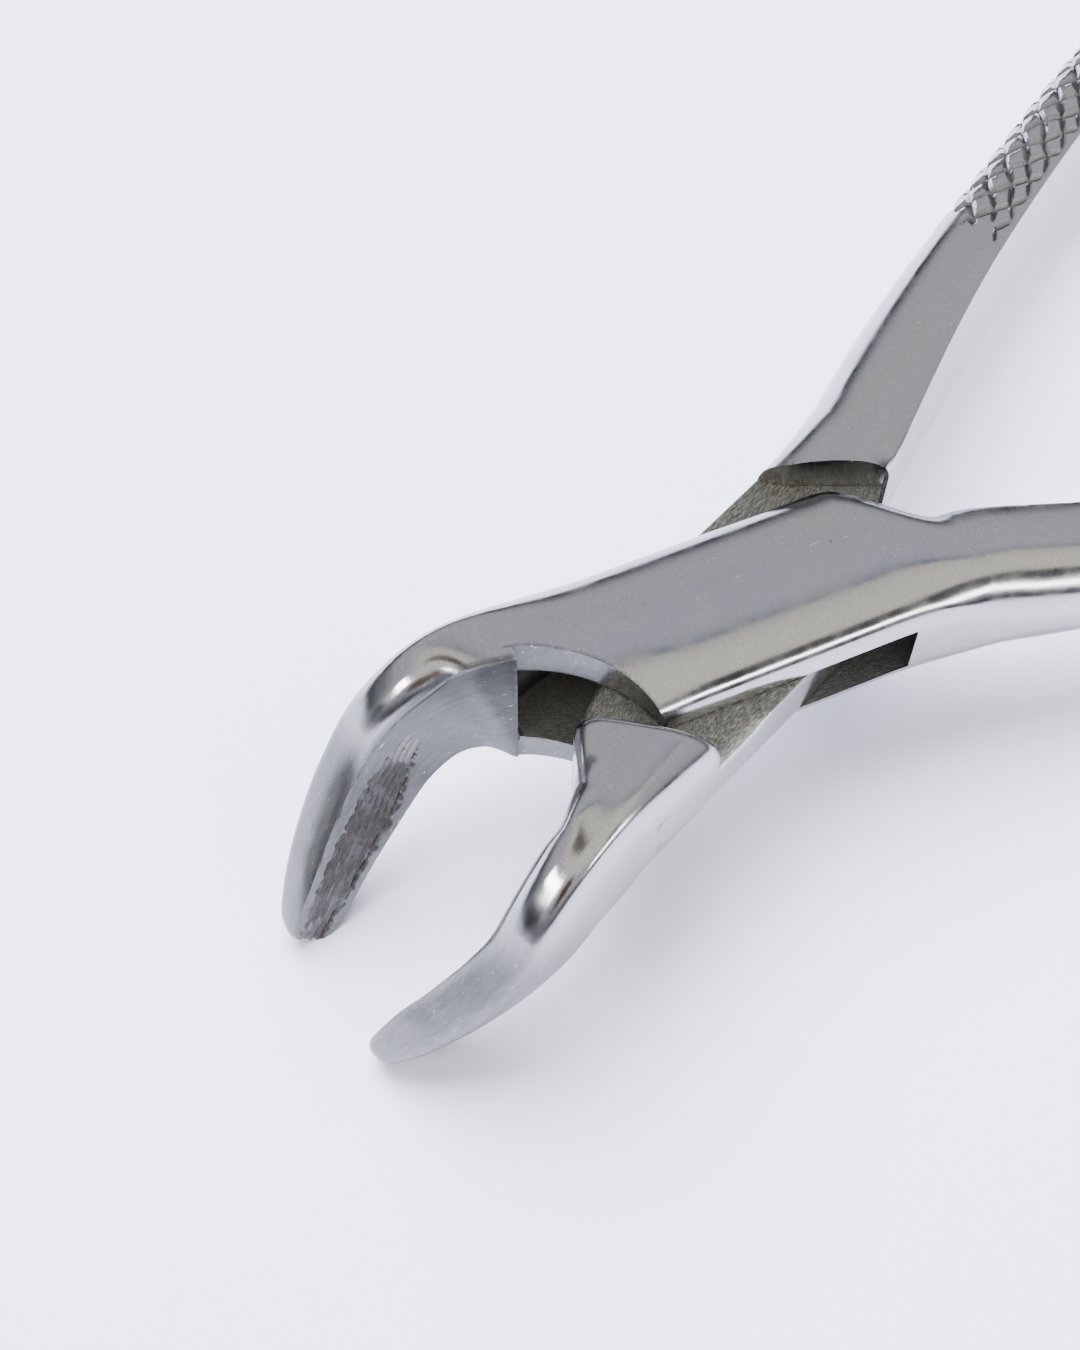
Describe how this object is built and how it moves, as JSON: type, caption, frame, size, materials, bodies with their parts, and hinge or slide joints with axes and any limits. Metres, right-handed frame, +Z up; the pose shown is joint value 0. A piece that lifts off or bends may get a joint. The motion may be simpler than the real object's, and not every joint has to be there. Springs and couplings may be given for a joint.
{
  "type": "extraction forceps",
  "caption": "Dental extraction forceps: two steel halves crossing in a box joint on one pin, with bent beaks and bowed, knurled handles.",
  "frame": {"origin": "middle of the footprint, on the surface that the two beak tips and the two handle ends rest on", "axes": "+X along the tool towards the beaks, +Y towards the male half's beak, +Z up"},
  "size_m": [0.1706, 0.0834, 0.0233],
  "materials": {
    "half_steel": "polished stainless steel with fine brush marks",
    "pin_steel": "ground flush stainless steel"
  },
  "bodies": {
    "female": {"female_half": "half_steel", "pivot_pin": "pin_steel"},
    "male": {"male_half": "half_steel"}
  },
  "joints": [
    {"name": "box_joint", "type": "hinge", "parent": "female", "child": "male", "pos_m": [0.04515, 0, 0.01551], "axis": [-0.092, 0, 0.9958], "range_deg": [-14, 15]}
  ]
}
